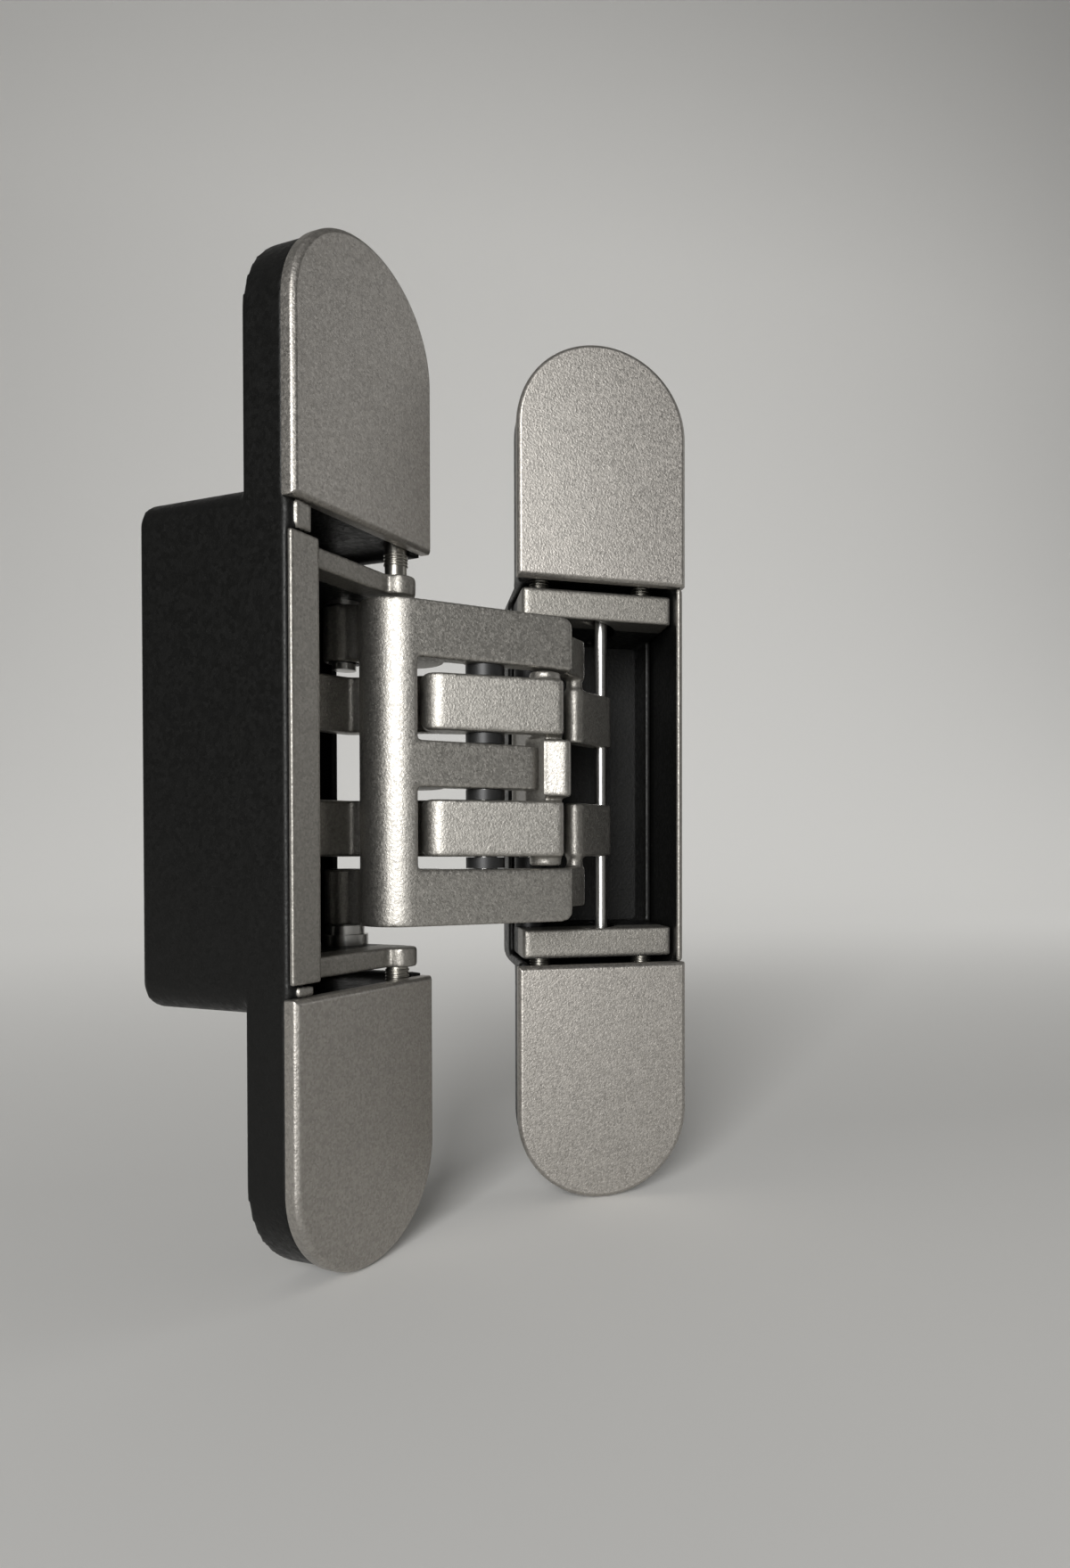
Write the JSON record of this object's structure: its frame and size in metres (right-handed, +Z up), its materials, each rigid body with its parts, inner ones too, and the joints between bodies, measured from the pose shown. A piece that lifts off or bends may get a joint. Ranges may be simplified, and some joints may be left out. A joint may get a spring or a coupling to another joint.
{
  "type": "concealed door hinge",
  "caption": "Concealed door hinge with two mortise bodies, round-ended cover plates and crossed slotted arms that swing the door clear of its frame.",
  "frame": {"origin": "centre of the frame side's screw pattern, on the seating face at the back of its two flanges", "axes": "+Y into the frame's mortise along the screws, +Z up along the hinge axis, +X along the face away from the door side"},
  "size_m": [0.0906, 0.0633, 0.16],
  "materials": {
    "cover_finish": "fine-grained satin nickel paint",
    "arm_finish": "fine-grained satin nickel paint on a casting",
    "carrier_metal": "satin grey casting",
    "housing_metal": "dull grey casting",
    "pin_steel": "ground steel",
    "screw_steel": "zinc-plated steel",
    "liner": "black acetal"
  },
  "bodies": {
    "frame_side": {"frame_housing": "housing_metal", "frame_carrier": "carrier_metal", "frame_cover_upper": "cover_finish", "frame_cover_lower": "cover_finish", "frame_side_adjuster_upper": "screw_steel", "frame_side_adjuster_lower": "screw_steel", "frame_height_screws_upper": "screw_steel", "frame_height_screws_lower": "screw_steel", "frame_pivot_pins": "pin_steel", "frame_pivot_sleeves": "liner"},
    "frame_arm": {"frame_arm": "arm_finish", "frame_arm_pivot_bushes": "liner", "frame_arm_centre_bushes": "liner", "frame_arm_slide_rod": "pin_steel"},
    "door_arm": {"door_arm": "arm_finish", "door_arm_pivot_bushes": "liner", "door_arm_slide_rod": "pin_steel", "centre_pin": "pin_steel", "centre_washers": "liner"},
    "door_side": {"door_housing": "housing_metal", "door_carrier": "carrier_metal", "door_cover_upper": "cover_finish", "door_cover_lower": "cover_finish", "door_side_adjuster_upper": "screw_steel", "door_side_adjuster_lower": "screw_steel", "door_height_screws_upper": "screw_steel", "door_height_screws_lower": "screw_steel", "door_pivot_pins": "pin_steel", "door_pivot_washers": "pin_steel"}
  },
  "joints": [
    {"name": "frame_arm_swing", "type": "hinge", "parent": "frame_side", "child": "frame_arm", "pos_m": [-0.012, 0.0055, 0], "axis": [0, 0, -1], "range_deg": [-67.2, 16.8]},
    {"name": "arm_crossing", "type": "hinge", "parent": "frame_arm", "child": "door_arm", "pos_m": [-0.02239, -0.01623, 0], "axis": [0, 0, 1], "range_deg": [-6.5, 1.7]},
    {"name": "door_swing", "type": "hinge", "parent": "door_arm", "child": "door_side", "pos_m": [-0.04591, -0.01104, 0], "axis": [0, 0, -1], "range_deg": [-67.3, 16.9]}
  ],
  "couplings": [
    {"joint": "arm_crossing", "follows": "frame_arm_swing", "ratio": 0.095238},
    {"joint": "door_swing", "follows": "frame_arm_swing", "ratio": 1}
  ]
}
